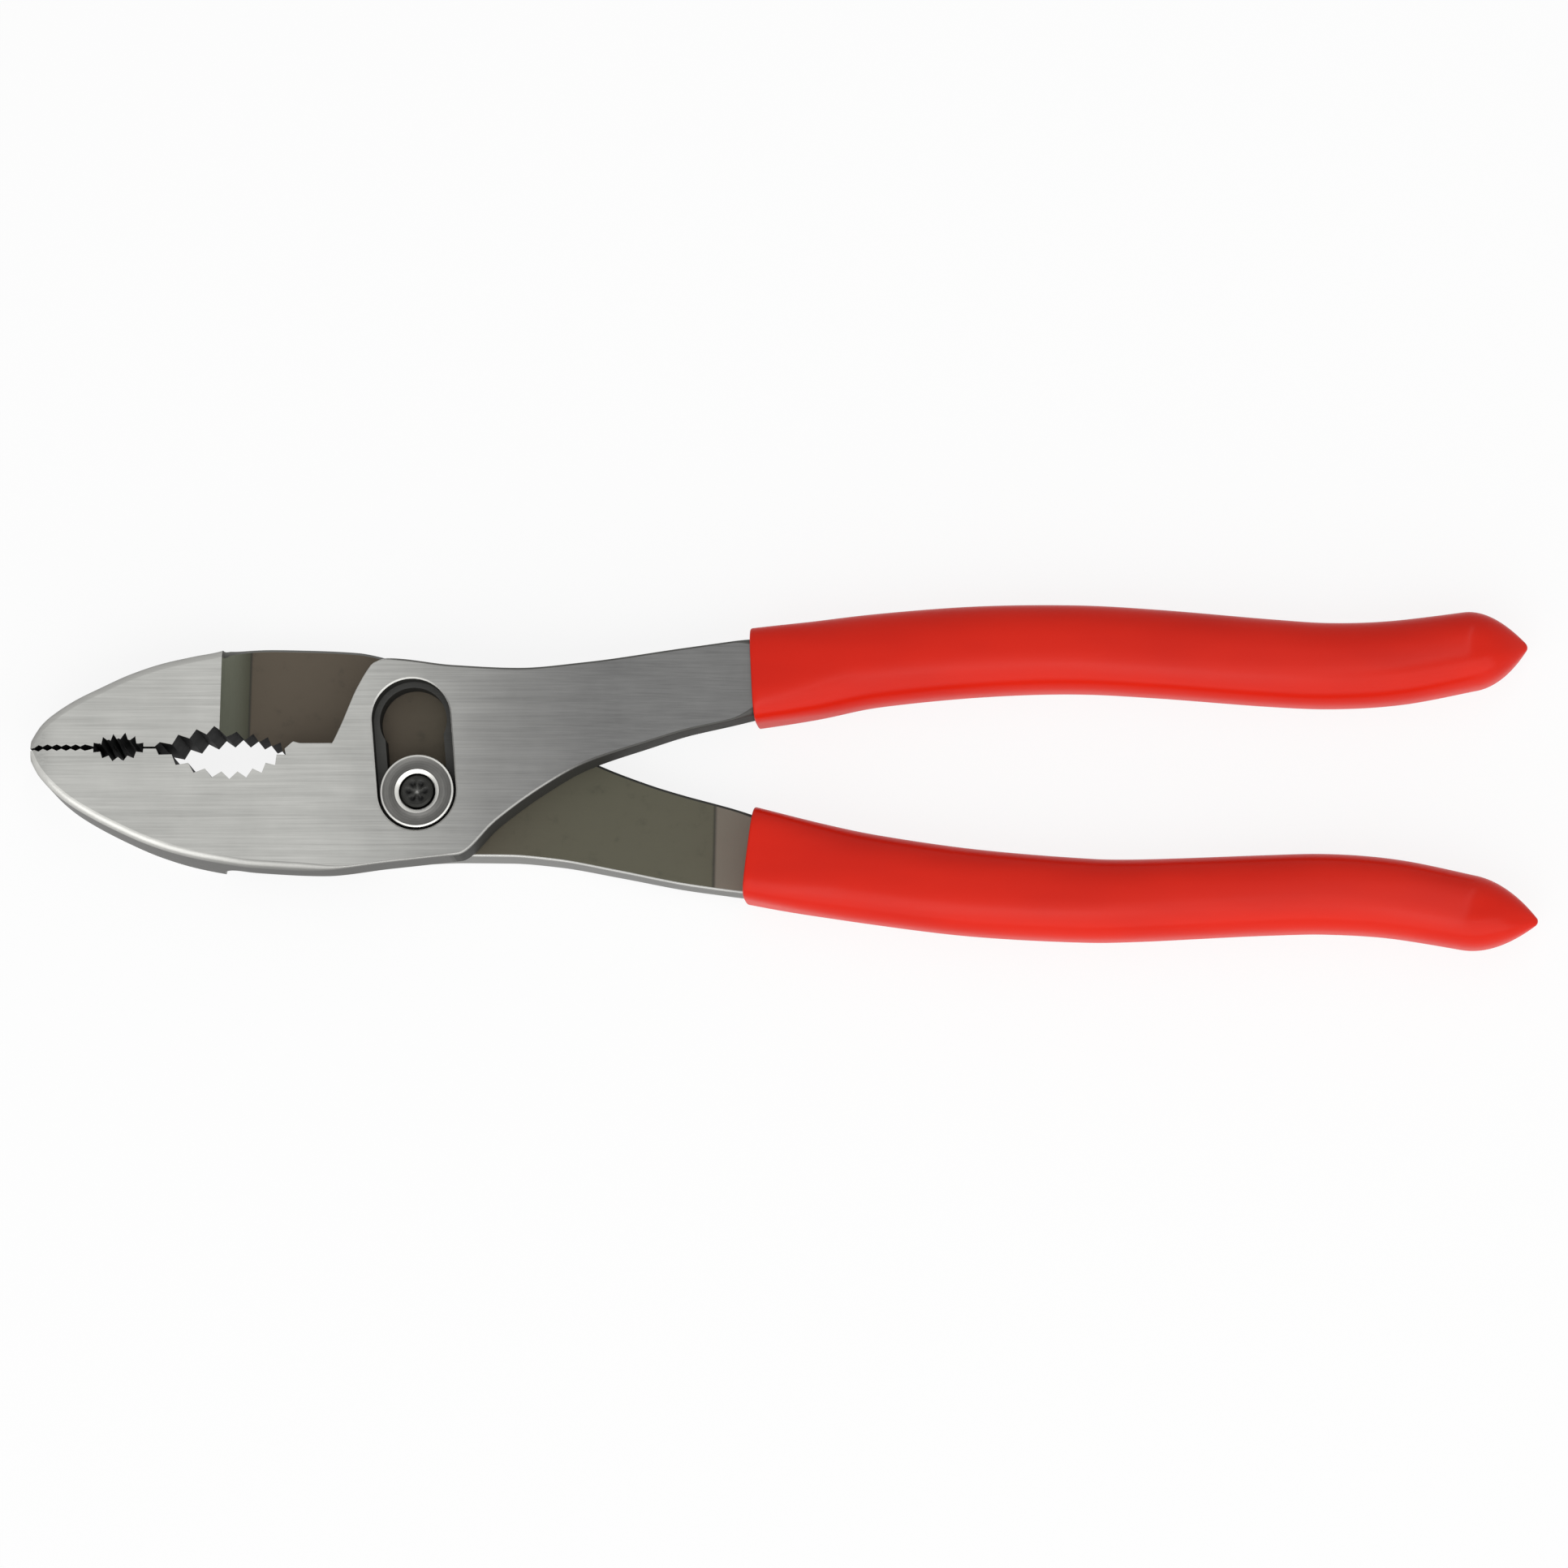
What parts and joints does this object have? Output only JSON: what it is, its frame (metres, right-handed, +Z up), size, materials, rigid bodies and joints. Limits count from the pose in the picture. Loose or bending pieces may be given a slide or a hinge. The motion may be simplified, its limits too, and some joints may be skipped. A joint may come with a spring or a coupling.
{
  "type": "slip-joint pliers",
  "caption": "Slip-joint pliers with a fine nose grip, a toothed pipe grip, a two-place bolt slot and red dipped handle sleeves, for gripping and turning.",
  "frame": {"origin": "centre of the tool's outline on the surface that it lies on", "axes": "+X from the jaws to the handle tips, +Y from the lower handle to the upper one, +Z up through the thickness"},
  "size_m": [0.2052, 0.0472, 0.0104],
  "materials": {
    "ground_steel": "belt-ground forged steel with brown-grey oxide on the milled lap faces",
    "bolt_steel": "turned steel, dark in the peened end",
    "red_vinyl": "smooth dipped vinyl, glossy red"
  },
  "bodies": {
    "front": {"front_half": "ground_steel", "upper_grip": "red_vinyl"},
    "pivot": {"pivot_bolt": "bolt_steel", "pivot_nut": "bolt_steel"},
    "rear": {"rear_half": "ground_steel", "lower_grip": "red_vinyl"}
  },
  "joints": [
    {"name": "slip", "type": "slide", "parent": "front", "child": "pivot", "axis": [-0.1045, 0.9945, 0], "range_m": [0, 0.0102]},
    {"name": "jaw_hinge", "type": "hinge", "parent": "pivot", "child": "rear", "pos_m": [-0.04896, -0.00284, 0.0052], "axis": [0, 0, -1], "range_deg": [0, 100]}
  ]
}
